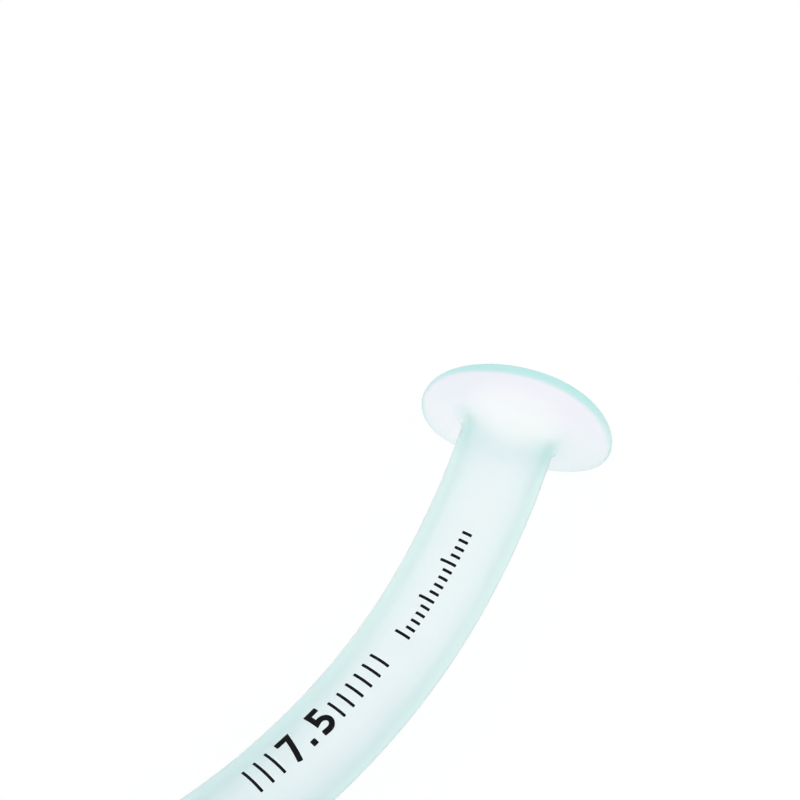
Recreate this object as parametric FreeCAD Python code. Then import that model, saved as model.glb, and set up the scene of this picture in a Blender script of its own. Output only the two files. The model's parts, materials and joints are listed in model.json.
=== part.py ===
import FreeCAD, Part
import math
import os

from FreeCAD import Vector

# Nasopharyngeal airway: one soft tube with a trumpet flange at one end and a bevelled, rounded
# tip at the other. Lengths are in millimetres and angles in degrees.

# Tube
bore_diameter = 7.5
wall_thickness = 1.4
tube_length = 160.0  # along the centreline, from the flange's face to the point of the tip
neck_length = 8.0  # straight run behind the flange's face
bend_radius = 89.0  # of the centreline
tip_length = 12.0  # straight run that carries the bevel

# Flange
flange_diameter = 21.3
flange_thickness = 1.2
underside_fillet = 2.6  # from the tube out to the flange's underside
flare_radius = 3.8  # from the bore out to the flange's face

# Tip
bevel_angle = 45.0  # between the bevel and the tube's axis
tip_edge_radius = 0.6  # on the outside edge of the bevel

bore_radius = bore_diameter / 2
tube_radius = bore_radius + wall_thickness
flange_radius = flange_diameter / 2
rim_radius = flange_thickness / 2
bend_angle = math.degrees((tube_length - neck_length - tip_length) / bend_radius)

# The airway is shaped with the flange's face centred on the origin. The neck runs along -Y and
# the tube bends towards -X, in the plane Z = 0.
bend_centre = Vector(-bend_radius, -neck_length, 0)


def arc(start, middle, end):
    """A circular edge through three points."""
    return Part.Arc(start, middle, end).toShape()


def flange_and_neck():
    """The flange's section, turned round the neck's axis: a flat face, a full round rim, a fillet
    under the flange and a flare that opens the bore into the face."""

    def at(radius, depth):
        return Vector(radius, -depth, 0)

    flat_edge = flange_radius - rim_radius
    fillet_depth = flange_thickness + underside_fillet
    fillet_out = tube_radius + underside_fillet
    flare_out = bore_radius + flare_radius
    diagonal = math.sqrt(0.5)
    edges = [
        Part.makeLine(at(flare_out, 0), at(flat_edge, 0)),
        arc(at(flat_edge, 0), at(flange_radius, rim_radius), at(flat_edge, flange_thickness)),
        Part.makeLine(at(flat_edge, flange_thickness), at(fillet_out, flange_thickness)),
        arc(
            at(fillet_out, flange_thickness),
            at(fillet_out - underside_fillet * diagonal, fillet_depth - underside_fillet * diagonal),
            at(tube_radius, fillet_depth),
        ),
        Part.makeLine(at(tube_radius, fillet_depth), at(tube_radius, neck_length)),
        Part.makeLine(at(tube_radius, neck_length), at(bore_radius, neck_length)),
        Part.makeLine(at(bore_radius, neck_length), at(bore_radius, flare_radius)),
        arc(
            at(bore_radius, flare_radius),
            at(flare_out - flare_radius * diagonal, flare_radius - flare_radius * diagonal),
            at(flare_out, 0),
        ),
    ]
    section = Part.Face(Part.Wire(edges))
    return section.revolve(Vector(0, 0, 0), Vector(0, 1, 0), 360)


def ring(centre, along):
    """The tube's section: a flat ring of the wall, square to the direction along."""
    outside = Part.Wire(Part.makeCircle(tube_radius, centre, along))
    inside = Part.Wire(Part.makeCircle(bore_radius, centre, along))
    return Part.Face([outside, inside])


def bend():
    """The curved run: the tube's section swung round the centre of the bend."""
    start = ring(Vector(0, -neck_length, 0), Vector(0, -1, 0))
    return start.revolve(bend_centre, Vector(0, 0, -1), bend_angle)


def centreline(angle):
    """The point of the curved run at this angle from its start, and the way the tube goes there."""
    turn = math.radians(angle)
    out = Vector(math.cos(turn), -math.sin(turn), 0)
    along = Vector(-math.sin(turn), -math.cos(turn), 0)
    return bend_centre + out * bend_radius, along


def tip():
    """The straight end, cut off slantwise so that the opening looks up and forwards, with the
    outside edge of the cut rounded."""
    start, along = centreline(bend_angle)
    straight = ring(start, along).extrude(along * tip_length)
    slope = math.radians(bevel_angle)
    bevel_normal = along * math.sin(slope) + Vector(0, 0, 1) * math.cos(slope)
    point = start + along * tip_length - Vector(0, 0, tube_radius)
    reach = 4 * (tip_length + tube_radius)
    cutter = Part.makeBox(reach, reach, reach, Vector(-reach / 2, -reach / 2, 0))
    cutter.Placement = FreeCAD.Placement(point, FreeCAD.Rotation(Vector(0, 0, 1), bevel_normal))
    cut = straight.cut(cutter).Solids[0]
    bevel_edges = [
        edge
        for edge in cut.Edges
        if max(abs((vertex.Point - point).dot(bevel_normal)) for vertex in edge.Vertexes) < 1e-6
        and abs((edge.CenterOfMass - point).dot(bevel_normal)) < 1e-6
    ]
    outside_edge = max(bevel_edges, key=lambda edge: edge.Length)
    return cut.makeFillet(tip_edge_radius, [outside_edge])


def resting(shape):
    """Lays the airway on the plane Z = 0 as it comes to rest: on the flange's rim and on the
    underside of the bend, with its centre of mass above the line between the two."""
    balance = shape.CenterOfMass
    lean = balance.x / balance.y
    touch = math.atan(lean) + math.acos(
        (1 - lean * neck_length / bend_radius) / math.sqrt(1 + lean * lean)
    )
    drop = bend_radius * (1 - math.cos(touch)) + (neck_length - rim_radius) * math.sin(touch)
    tilt = 0.0
    for _ in range(6):
        rim_height = (flange_radius - rim_radius) * math.sqrt(1 - (tilt * math.sin(touch)) ** 2)
        tilt = (rim_height + rim_radius - tube_radius) / drop
    up = Vector(-tilt * math.cos(touch), tilt * math.sin(touch), math.sqrt(1 - tilt * tilt))
    outwards = Vector(0, 1, 0)
    outwards = outwards - up * outwards.dot(up)
    outwards.normalize()
    turned = FreeCAD.Rotation(outwards.cross(up), outwards, up, "ZYX").inverted()
    shape = shape.copy()
    shape.Placement = FreeCAD.Placement(Vector(0, 0, 0), turned)
    box = shape.optimalBoundingBox(False, False)
    shape.translate(Vector(-box.Center.x, -box.Center.y, -box.ZMin))
    return shape


airway = flange_and_neck().fuse([bend(), tip()]).removeSplitter().Solids[0]
airway = resting(airway)

os.makedirs("parts", exist_ok=True)
airway.exportStep("parts/airway.step")
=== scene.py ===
import json

import bpy
import numpy as np
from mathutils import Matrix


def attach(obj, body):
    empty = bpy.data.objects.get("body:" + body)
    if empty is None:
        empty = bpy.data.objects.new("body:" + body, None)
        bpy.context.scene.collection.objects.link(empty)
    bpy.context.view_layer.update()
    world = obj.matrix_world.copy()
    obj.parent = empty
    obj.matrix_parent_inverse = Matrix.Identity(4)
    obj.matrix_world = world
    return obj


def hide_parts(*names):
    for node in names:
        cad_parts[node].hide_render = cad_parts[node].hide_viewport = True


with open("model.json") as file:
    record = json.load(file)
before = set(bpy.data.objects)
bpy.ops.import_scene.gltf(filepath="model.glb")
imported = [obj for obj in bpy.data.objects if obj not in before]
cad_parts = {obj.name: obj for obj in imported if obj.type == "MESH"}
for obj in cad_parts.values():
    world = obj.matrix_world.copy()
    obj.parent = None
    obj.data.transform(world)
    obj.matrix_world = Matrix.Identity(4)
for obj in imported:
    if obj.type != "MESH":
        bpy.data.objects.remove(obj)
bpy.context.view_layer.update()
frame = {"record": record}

# The airway: one soft tube of clear plasticised PVC with a faint mint tint and a satin skin, whose
# trumpet flange, 90 degree bend and bevelled tip are formed in one with it. The bore runs right
# through it, so it is made as one closed skin: outside, rim, flared mouth, bore and tip.

mm = 0.001
tube_radius = 5.15 * mm
bore_radius = 3.75 * mm
tube_length = 160.0 * mm
neck_length = 8.0 * mm
bend_radius = 89.0 * mm
tip_length = 12.0 * mm
flange_radius = 10.59 * mm
flange_thickness = 1.2 * mm
underside_fillet = 2.6 * mm
flare_radius = 3.8 * mm
bevel_angle = np.radians(45.0)
lip_pull_back = 0.45 * mm
lip_squareness = 0.7

# How finely the skin is divided, along each stretch of its section and round the middle line.
tube_steps = 160
fillet_steps = 22
flat_steps = 14
edge_steps = 25
flare_steps = 24
lip_steps = 17
steps_round = 192

# A soft flange never sits quite true: the neck sways a little over its reach, and the flange is
# off centre, a little oval, leans and waves.
neck_shift = 0.36 * mm
neck_reach = 20.0 * mm
flange_shift = 0.35 * mm
flange_oval = 0.011
flange_lean = 0.0473
flange_saddle = 0.472 * mm
saddle_turn = np.radians(-2.6)
flange_wave = 0.159 * mm
wave_turn = np.radians(-23.8)

# The tint of each region and the painted shade laid on it, how much of each shows where, and where
# it fades: the tube's near end, its far end, the thin flange and the flange's thick edge. A fade runs
# between two heights, from -1 at the foot of the turn to 1 at its top. The far end's painted shade
# turns from the bend's inside upwards, and the edge's painted shade has two turns from the top on
# towards the bend's outside.
near_tint = np.array([0.992, 0.978, 0.991])
# Painted shade: the far tube darkens to a bluish grey, most along the bend's inside and outside, and
# the inside most of all.
far_painted_shade = np.array([0.885, 0.908, 0.928])
far_start = 20.0 * mm
far_full = 60.0 * mm
far_all_round = 0.6
far_at_sides = 0.3
far_inside = 0.1
far_turn = np.radians(10.0)
# The flange's lavender is its tint. It shows less on the lower part, which faces the floor, so that
# part is left mintier as painted shade.
flange_tint = np.array([0.985, 0.930, 0.995])
flange_tint_reach = 1.3 * mm
flange_tint_low = 0.4
flange_shade_fade = (-0.2, 0.6)
# Painted shade: the flange's thick edge darkens to a deep mint, deepest and widest on top.
edge_painted_shade = np.array([0.36, 0.82, 0.74])
edge_all_round = 0.28
edge_above = 0.27
edge_on_top = 0.45
edge_fade = (-0.6, -0.1)
top_fade = (0.2, 0.85)
deepest_turn = np.radians(7.0)
edge_width = 0.62 * mm
edge_narrowing = 0.5
widest_turn = np.radians(35.0)

# The flange's middle and ways come from the mount on its flat ring. The airway lies on the flange's
# rim and on the bend, so the bend's inside points a little up.
mouth = next(mount for mount in frame["record"]["mounts"] if mount["name"] == "flange_face")
outwards = np.array(mouth["axis"])
outwards = outwards / np.linalg.norm(outwards)
along_floor = np.array([1.0, 0.0, 0.0])
across_flange = np.cross(along_floor, outwards)
mount_reach = 8.8 * mm
flange_centre = np.array(mouth["pos_m"]) - mount_reach * along_floor
bend_lean = np.radians(3.0014)
bend_inwards = -np.cos(bend_lean) * along_floor + np.sin(bend_lean) * across_flange
bend_up = np.cross(outwards, bend_inwards)
bend_turn = (tube_length - neck_length - tip_length) / bend_radius


def centreline(station):
    """Points of the tube's middle line and the way towards the bend's centre there, for distances
    from the flange's face: straight for the neck, then round an arc, then straight to the tip."""
    turn = np.clip((station - neck_length) / bend_radius, 0, bend_turn)[..., None]
    neck = np.minimum(station, neck_length)[..., None]
    past = np.maximum(station - tube_length + tip_length, 0)[..., None]
    ahead = -np.cos(turn) * outwards + np.sin(turn) * bend_inwards
    inwards = np.cos(turn) * bend_inwards + np.sin(turn) * outwards
    arc = bend_radius * (-np.sin(turn) * outwards + (1 - np.cos(turn)) * bend_inwards)
    return flange_centre - neck * outwards + arc + past * ahead, inwards


def on_tube(station, angle, radius):
    """Points at this radius about the middle line, with the angle counted from the bend's inside
    towards its upper side: centre + radius * (cos angle * inwards + sin angle * up)."""
    centre, inwards = centreline(station)
    radius = np.asarray(radius)[..., None]
    return centre + radius * (np.cos(angle)[..., None] * inwards + np.sin(angle)[..., None] * bend_up)


def section_arc(depth, radius, size, start, stop, steps):
    """A stretch of circle in the section: depth + size * sin, radius + size * cos."""
    turn = np.linspace(start, stop, steps)
    return np.stack([depth + size * np.sin(turn), radius + size * np.cos(turn)], 1)


def squarish(wave, power):
    """A sine or cosine raised to a power under 1 with its sign kept, which squares off a round."""
    return np.sign(wave) * np.abs(wave) ** power


def airway_section():
    """The closed section as rows of depth below the flange's face and radius, from the tip's
    outside edge up the skin, round the flange, down the flare and the bore and round the tip's
    lip, which is half of a squarish ellipse across the wall."""
    rim = flange_thickness / 2
    wall = tube_radius - bore_radius
    fillet_depth = flange_thickness + underside_fillet
    fillet_reach = tube_radius + underside_fillet
    mouth_radius = bore_radius + flare_radius
    down = np.linspace(tube_length, fillet_depth, tube_steps)
    skin = np.stack([down, np.full_like(down, tube_radius)], 1)
    fillet = section_arc(
        fillet_depth, fillet_reach, underside_fillet, np.pi, 1.5 * np.pi, fillet_steps
    )
    flat = np.linspace(fillet_reach, flange_radius - rim, flat_steps)[1:-1]
    under = np.stack([np.full_like(flat, flange_thickness), flat], 1)
    edge = section_arc(rim, flange_radius - rim, rim, np.pi / 2, -np.pi / 2, edge_steps)
    face = np.stack([np.zeros_like(flat), flat[::-1]], 1)
    flare = section_arc(flare_radius, mouth_radius, flare_radius, -np.pi / 2, -np.pi, flare_steps)
    up = np.linspace(flare_radius, tube_length, tube_steps)
    bore = np.stack([up, np.full_like(up, bore_radius)], 1)
    lip_turn = np.linspace(np.pi, 0, lip_steps)[1:-1]
    lip_depth = tube_length + lip_pull_back * squarish(np.sin(lip_turn), lip_squareness)
    lip_across = (1 + squarish(np.cos(lip_turn), lip_squareness)) / 2
    lip = np.stack([lip_depth, bore_radius + wall * lip_across], 1)
    return np.concatenate([skin[:-1], fillet, under, edge, face, flare, bore[1:], lip])


def eased(value, start, stop):
    """0 up to the start, 1 from the stop on, and 3 x squared - 2 x cubed between the two, with one
    axis added for the three parts of a place or a colour."""
    share = np.clip((value - start) / (stop - start), 0, 1)[..., None]
    return share * share * (3 - 2 * share)


def airway_points(around):
    """The section swung round the middle line. Past the bend each line of the tube is scaled to
    end on the bevel's plane. The neck sways sideways towards the flange. Outside the tube's radius
    the flange is shifted, pressed oval, leant, and waved twice and three times a turn, and all of
    that grows with the radius."""
    section = airway_section()
    angle = np.linspace(0, 2 * np.pi, around, endpoint=False)
    depth, angle = np.meshgrid(section[:, 0], angle, indexing="ij")
    radius = np.repeat(section[:, 1:], around, axis=1)
    straight = tube_length - tip_length
    cut = tube_length - (radius * np.sin(angle) + tube_radius) / np.tan(bevel_angle)
    reach = (cut - lip_pull_back - straight) / tip_length
    lip = np.maximum(depth - tube_length, 0)
    run = np.clip(depth, straight, tube_length) - straight
    station = np.where(depth > straight, straight + run * reach + lip, depth)
    points = on_tube(station, angle, radius)

    spoke = points - flange_centre
    left = spoke @ -along_floor
    high = spoke @ across_flange
    turn = np.arctan2(-high, left)
    saddle = flange_saddle * np.cos(2 * (turn - saddle_turn))
    wave = flange_wave * np.cos(3 * (turn - wave_turn))
    drop = flange_lean * left + saddle - wave
    press = flange_oval * high[..., None] * across_flange
    set_off = flange_shift * along_floor - press - drop[..., None] * outwards
    sway = neck_shift * (1 - eased(depth, 0, neck_reach)) * along_floor
    return points + sway + eased(radius, tube_radius, flange_radius) * set_off


def airway_tints_and_shade(around):
    """The tint and painted shade of every point of the skin. By depth it goes from the near tube's
    tint to the far tube's painted shade, which shows most along the bend's inside and outside. By
    radius it then goes to the flange's lavender, which shows most on the upper part and leaves the
    lower part mintier as painted shade, and to the edge's painted shade, which shows most on top and
    is widest near there."""
    depth, radius = airway_section().T[:, :, None]
    angle = np.linspace(0, 2 * np.pi, around, endpoint=False)
    height = np.sin(angle)
    far = far_all_round + far_at_sides * np.cos(2 * (angle - far_turn)) + far_inside * np.cos(angle)
    far = eased(depth, far_start, far_full) * far[:, None]
    tint = near_tint + (far_painted_shade - near_tint) * far
    web = flange_tint_low + (1 - flange_tint_low) * eased(height, *flange_shade_fade)
    web = eased(radius, tube_radius, tube_radius + flange_tint_reach) * web
    tint = tint + (flange_tint - tint) * web
    wide = eased(np.sin(angle - widest_turn), *top_fade)[:, 0]
    width = edge_width * (edge_narrowing + (1 - edge_narrowing) * wide)
    edge = edge_all_round + edge_above * eased(height, *edge_fade)
    edge = edge + edge_on_top * eased(np.sin(angle - deepest_turn), *top_fade)
    edge = eased(radius, flange_radius - width, flange_radius) * edge
    tint = tint + (edge_painted_shade - tint) * edge
    return np.concatenate([tint, np.ones_like(tint[..., :1])], axis=-1)


def closed_grid(rows, columns):
    """Four corners of every face of a grid that joins up with itself both ways."""
    row, column = np.meshgrid(np.arange(rows), np.arange(columns), indexing="ij")
    next_row = (row + 1) % rows
    next_column = (column + 1) % columns
    corners = [row * columns + column, row * columns + next_column]
    corners += [next_row * columns + next_column, next_row * columns + column]
    return np.stack(corners, -1).reshape(-1, 4)


def add_piece(name, points, faces, material):
    """A smooth mesh object of these points and faces, at the origin, in this material."""
    mesh = bpy.data.meshes.new(name)
    mesh.from_pydata(points.reshape(-1, 3), [], faces)
    mesh.shade_smooth()
    mesh.materials.append(material)
    piece = bpy.data.objects.new(name, mesh)
    bpy.context.scene.collection.objects.link(piece)
    return piece


def node_tools(tree):
    """Empties a node tree, and gives short ways to add nodes to it and to join them."""
    tree.nodes.clear()

    def add(kind, **inputs):
        node = tree.nodes.new(kind)
        for key, value in inputs.items():
            node.inputs[key.replace("_", " ")].default_value = value
        return node

    def join(source, sink):
        tree.links.new(source, sink)

    return add, join


def new_material(name):
    """An empty node material, its output, and the tools for its nodes."""
    material = bpy.data.materials.new(name)
    material.use_nodes = True
    add, join = node_tools(material.node_tree)
    return material, add("ShaderNodeOutputMaterial"), add, join


def noise(add, join, **inputs):
    """The level of a noise in object space, so that it stays with the piece."""
    texture = add("ShaderNodeTexNoise", **inputs)
    join(add("ShaderNodeTexCoord").outputs["Object"], texture.inputs["Vector"])
    return texture.outputs["Fac"]


def two_tones(add, join, level, low, high):
    """A colour between two, led by a noise's level: each comes with the level where it is full."""
    ramp = add("ShaderNodeValToRGB")
    for stop, (full_level, color) in zip(ramp.color_ramp.elements, (low, high)):
        stop.position = full_level
        stop.color = color
    join(level, ramp.inputs["Fac"])
    return ramp.outputs["Color"]


def grained(add, join, grain, color, smoothest, roughest, relief, relief_depth, **inputs):
    """A surface of this colour. Its roughness and its fine relief both follow the grain's level,
    which keeps mostly between 0.3 and 0.7."""
    rough = add("ShaderNodeMapRange", From_Min=0.3, From_Max=0.7, To_Min=smoothest, To_Max=roughest)
    join(grain, rough.inputs["Value"])
    bump = add("ShaderNodeBump", Strength=relief, Distance=relief_depth)
    join(grain, bump.inputs["Height"])
    surface = add("ShaderNodeBsdfPrincipled", **inputs)
    join(color, surface.inputs["Base Color"])
    join(rough.outputs["Result"], surface.inputs["Roughness"])
    join(bump.outputs["Normal"], surface.inputs["Normal"])
    return surface.outputs["BSDF"]


def soft_pvc():
    """Clear PVC with a mint tint: light is let through and lost a little on the way, red most, so
    thick edges look mint and thin walls nearly white. The skin carries the tint and painted shade of
    its region, and object-space noise clouds it, the roughness and the fine satin grain."""
    material, output, add, join = new_material("soft_pvc")
    cloud = noise(add, join, Scale=90.0, Detail=3.0, Roughness=0.5)
    grain = noise(add, join, Scale=2600.0, Detail=2.0, Roughness=0.6)
    cloudy = (0.35, (0.985, 0.99, 0.99, 1))
    clear = (0.65, (1, 1, 1, 1))
    clouds = two_tones(add, join, cloud, cloudy, clear)
    region = add("ShaderNodeAttribute")
    region.attribute_name = "region_tint_and_shade"
    # The region's tint and painted shade, clouded by the noise.
    tint = add("ShaderNodeMix")
    tint.data_type = "RGBA"
    tint.blend_type = "MULTIPLY"
    tint.inputs["Factor"].default_value = 1.0
    join(region.outputs["Color"], tint.inputs["A"])
    join(clouds, tint.inputs["B"])
    skin = grained(
        add, join, grain, tint.outputs["Result"], smoothest=0.66, roughest=0.76,
        relief=0.12, relief_depth=0.02 * mm, IOR=1.12, Transmission_Weight=1.0,
    )
    join(skin, output.inputs["Surface"])
    body = add("ShaderNodeVolumeAbsorption", Color=(0.0, 0.79, 0.66, 1), Density=44.0)
    join(body.outputs["Volume"], output.inputs["Volume"])
    return material


skin_points = airway_points(steps_round)
skin_faces = closed_grid(len(skin_points), steps_round)
airway = add_piece("soft_airway", skin_points, skin_faces, soft_pvc())
region_tint_and_shade = airway.data.color_attributes.new("region_tint_and_shade", "FLOAT_COLOR", "POINT")
region_tint_and_shade.data.foreach_set("color", airway_tints_and_shade(steps_round).ravel())
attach(airway, "root")
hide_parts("airway")

# The printed marks: black ink pad-printed on the upper side of the bend before the tube is packed.
# They are a bold plain size number between thin bars, and a plain graduated scale nearer the
# flange. Each stroke is a thin slab of ink that follows the tube's skin.

ink_foot = 0.01 * mm
ink_top = 0.035 * mm
base_angle = np.radians(104.0)
bold_stroke = 0.66 * mm
thin_stroke = 0.35 * mm
number_height = 3.3 * mm
number_width = 1.95 * mm
dot_size = 0.72 * mm
seven_station = 51.5 * mm
dot_station = 48.3 * mm
five_station = 46.9 * mm
lead_bars = np.array([56.3, 54.65, 53.0]) * mm
trail_bars = np.linspace(43.8, 36.3, 6) * mm
trail_height = 2.45 * mm
scale_ticks = np.linspace(32.3, 18.3, 15) * mm
tick_height = 1.1 * mm
long_tick_height = 1.85 * mm
long_tick_every = 5

# How a stroke is divided and rounded off. The limit on mitres keeps sharp corners short, the least
# share of the width gives the end faces an area, and places alike to these decimals are one.
stroke_step = 0.07 * mm
across_steps = 5
bowl_steps = 40
end_round = 0.14 * mm
end_steps = 7
end_least = 1e-5
mitre_least = 0.55
same_decimals = 9


def print_stroke(station, path, width):
    """A slab of ink along a path drawn flat, in metres from the foot of a mark: x runs towards the
    flange and y round the tube towards the bend's inside. Corners are mitred, and at each end the
    width falls away as the fourth root of 1 - x to the fourth, which is flat with round corners."""
    path = np.asarray(path, dtype=float)
    step = np.linalg.norm(np.diff(path, axis=0), axis=1)
    ahead = np.diff(path, axis=0) / step[:, None]
    side = np.stack([ahead[:, 1], -ahead[:, 0]], 1)
    mitre = np.concatenate([side[:1], side[:-1] + side[1:], side[-1:]])
    mitre = mitre / np.linalg.norm(mitre, axis=1)[:, None]
    square_share = (mitre * np.concatenate([side, side[-1:]])).sum(1)
    mitre = mitre / np.maximum(square_share, mitre_least)[:, None]
    walked = np.concatenate([[0], np.cumsum(step)])
    length = walked[-1]
    cap = end_round * (1 - np.cos(np.linspace(0, np.pi / 2, end_steps)))
    inner = np.arange(end_round, length - end_round, stroke_step)[1:]
    corners = walked[(walked > end_round) & (walked < length - end_round)]
    where = np.concatenate([cap, inner, corners, length - cap])
    where = np.unique(where.round(same_decimals))
    spot = np.stack([np.interp(where, walked, path[:, axis]) for axis in (0, 1)], 1)
    lean = np.stack([np.interp(where, walked, mitre[:, axis]) for axis in (0, 1)], 1)
    beyond = np.clip(1 - np.minimum(where, length - where) / end_round, 0, 1)
    half = width / 2 * np.maximum(1 - beyond**4, end_least) ** 0.25
    across = np.linspace(-1, 1, across_steps)
    across = np.concatenate([across, across[::-1]])
    level = np.repeat([ink_top, ink_foot], across_steps)
    flat = spot[:, None] + lean[:, None] * (half[:, None] * across)[..., None]
    return on_tube(
        station - flat[..., 0],
        base_angle - flat[..., 1] / tube_radius,
        tube_radius + np.broadcast_to(level, flat.shape[:2]),
    )


def print_bar(station, height):
    """A thin bar round the tube, from its foot up."""
    return print_stroke(station, [(0, 0), (0, height)], thin_stroke)


def slab_faces(rows, columns):
    """Faces of a grid that joins up with itself across its rows. Both ends are capped by quads
    between the first half of the row, which runs along the top, and the second, along the foot."""
    sides = closed_grid(rows, columns)[: (rows - 1) * columns]
    top = np.arange(columns // 2 - 1)
    foot = columns - 1 - top
    cap = np.stack([top, top + 1, foot - 1, foot], 1)
    return np.concatenate([sides, cap[:, ::-1], cap + (rows - 1) * columns])


def printing_ink():
    """Matt black ink, a little thinner and greyer in places, by noise in object space."""
    material, output, add, join = new_material("printing_ink")
    grain = noise(add, join, Scale=1800.0, Detail=3.0, Roughness=0.6)
    black = (0.3, (0.002, 0.002, 0.003, 1))
    grey = (0.75, (0.007, 0.007, 0.008, 1))
    ink = grained(
        add, join, grain, two_tones(add, join, grain, black, grey), smoothest=0.5, roughest=0.65,
        relief=0.1, relief_depth=0.01 * mm, IOR=1.45, Specular_IOR_Level=0.1,
    )
    join(ink, output.inputs["Surface"])
    return material


def bowl_path(centre, wide, high, start, stop):
    """A stretch of ellipse drawn flat, from one angle to another in degrees."""
    turn = np.radians(np.linspace(start, stop, bowl_steps))
    return [(centre[0] + wide * np.cos(part), centre[1] + high * np.sin(part)) for part in turn]


# The digits and the dot, drawn flat from their feet up. Both digits have a bar along one line, and
# the five goes on down its stem and round its bowl.
bar_line = number_height - bold_stroke / 2
seven = [
    (-0.12 * mm, bar_line),
    (number_width - bold_stroke / 2, bar_line),
    (0.60 * mm, -0.14 * mm),
]
dot = [(-dot_size / 2, dot_size / 2), (dot_size / 2, dot_size / 2)]
bowl = bowl_path(
    centre=(0.44 * number_width, 1.00 * mm), wide=0.88 * mm, high=0.72 * mm, start=104, stop=-90
)
five = [
    (0.90 * number_width, bar_line),
    (0.16 * number_width, bar_line),
    (0.18 * number_width, 1.62 * mm),
    *bowl,
    (0, 0.34 * mm),
]
strokes = [
    print_stroke(seven_station, seven, bold_stroke),
    print_stroke(dot_station, dot, dot_size),
    print_stroke(five_station, five, bold_stroke),
]
strokes += [print_bar(bar, number_height) for bar in lead_bars]
strokes += [print_bar(bar, trail_height) for bar in trail_bars]
for count, tick in enumerate(scale_ticks):
    strokes.append(print_bar(tick, tick_height if count % long_tick_every else long_tick_height))
ink_points = np.concatenate([stroke.reshape(-1, 3) for stroke in strokes])
ink_faces = []
first_point = 0
for stroke in strokes:
    rows, columns = stroke.shape[:2]
    ink_faces.append(slab_faces(rows, columns) + first_point)
    first_point += rows * columns
marks = add_piece("printed_marks", ink_points, np.concatenate(ink_faces), printing_ink())
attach(marks, "root")

# The studio: a plain white floor, a plain white surround, one large soft lamp over the right
# shoulder and a weaker one from the left, and a long lens that looks down on the airway.

floor_reach = 3.0
floor_plain_share = 0.85
surround_strength = 0.9
lamp_size = 0.9
lamp_target = (0, 0, 0.01)


def shown_white(add, join):
    """1 where the camera sees a surface, straight or in gloss or through a clear wall, and 0 for
    light that falls on the object."""
    path = add("ShaderNodeLightPath")
    total = path.outputs["Is Camera Ray"]
    for name in ("Is Glossy Ray", "Is Transmission Ray"):
        either = add("ShaderNodeMath")
        either.operation = "MAXIMUM"
        join(total, either.inputs[0])
        join(path.outputs[name], either.inputs[1])
        total = either.outputs["Value"]
    return total


def mixed(add, join, share, first, second):
    """The first shader where the share is 0, and the second where it is 1."""
    mix = add("ShaderNodeMixShader")
    join(share, mix.inputs["Fac"])
    join(first, mix.inputs[1])
    join(second, mix.inputs[2])
    return mix.outputs["Shader"]


def white_floor():
    """Matt white that takes the airway's shadow, with most of it made plain white to the eye."""
    material, output, add, join = new_material("white_floor")
    share = add("ShaderNodeMath")
    share.operation = "MULTIPLY"
    share.inputs[1].default_value = floor_plain_share
    join(shown_white(add, join), share.inputs[0])
    matt = add("ShaderNodeBsdfDiffuse", Color=(0.95, 0.95, 0.95, 1)).outputs["BSDF"]
    plain = add("ShaderNodeEmission", Strength=1.0).outputs["Emission"]
    join(mixed(add, join, share.outputs["Value"], matt, plain), output.inputs["Surface"])
    return material


floor_corners = floor_reach * np.array([(-1, -1, 0), (1, -1, 0), (1, 1, 0), (-1, 1, 0)], dtype=float)
floor = add_piece("floor", floor_corners, [(0, 1, 2, 3)], white_floor())

surround = bpy.data.worlds.new("surround")
surround.use_nodes = True
bpy.context.scene.world = surround
add, join = node_tools(surround.node_tree)
light = add("ShaderNodeBackground", Color=(1, 1, 1, 1), Strength=surround_strength)
white = add("ShaderNodeBackground", Color=(1, 1, 1, 1), Strength=1.0)
backdrop = mixed(
    add, join, shown_white(add, join), light.outputs["Background"], white.outputs["Background"]
)
join(backdrop, add("ShaderNodeOutputWorld").inputs["Surface"])


def aimed(place, target):
    """The turn, as three columns, that looks from a place at a target with no roll."""
    back = np.subtract(place, target)
    back = back / np.linalg.norm(back)
    right = np.cross((0, 0, 1), back)
    right = right / np.linalg.norm(right)
    return np.stack([right, np.cross(back, right), back], 1)


def stand(thing, place, target):
    """Puts a lamp or a camera at a place, aimed at a target."""
    matrix = np.eye(4)
    matrix[:3, :3] = aimed(place, target)
    matrix[:3, 3] = place
    thing.matrix_world = matrix.T
    bpy.context.scene.collection.objects.link(thing)


def soft_lamp(name, place, power):
    """A square soft lamp aimed at the middle of the airway."""
    lamp = bpy.data.lights.new(name, "AREA")
    lamp.size = lamp_size
    lamp.energy = power
    stand(bpy.data.objects.new(name, lamp), place, lamp_target)


soft_lamp("key_lamp", place=(0.7, -0.5, 1.1), power=3.5)
soft_lamp("fill_lamp", place=(-0.9, -0.3, 0.8), power=1.0)

# The camera looks down from in front, turned by the azimuth in radians. Its aim lies this far to
# the left of the flange's middle and above it, as the picture shows them.
view_azimuth = 0.2942
view_elevation = np.radians(55.1813)
view_distance = 1.5
aim_left = 12.2683 * mm
aim_above = 1.4855 * mm
view_right = np.array([np.cos(view_azimuth), np.sin(view_azimuth), 0])
view_flat = np.array([-np.sin(view_azimuth), np.cos(view_azimuth), 0])
view_ahead = view_flat * np.cos(view_elevation) - np.array([0, 0, 1]) * np.sin(view_elevation)
view_up = np.cross(view_right, view_ahead)
view_target = flange_centre - aim_left * view_right + aim_above * view_up
camera_data = bpy.data.cameras.new("camera")
camera_data.sensor_width = 36.0
camera_data.lens = 623.88
camera_data.clip_end = 20.0
camera = bpy.data.objects.new("camera", camera_data)
stand(camera, view_target - view_distance * view_ahead, view_target)
bpy.context.scene.camera = camera
bpy.context.scene.view_settings.view_transform = "Standard"
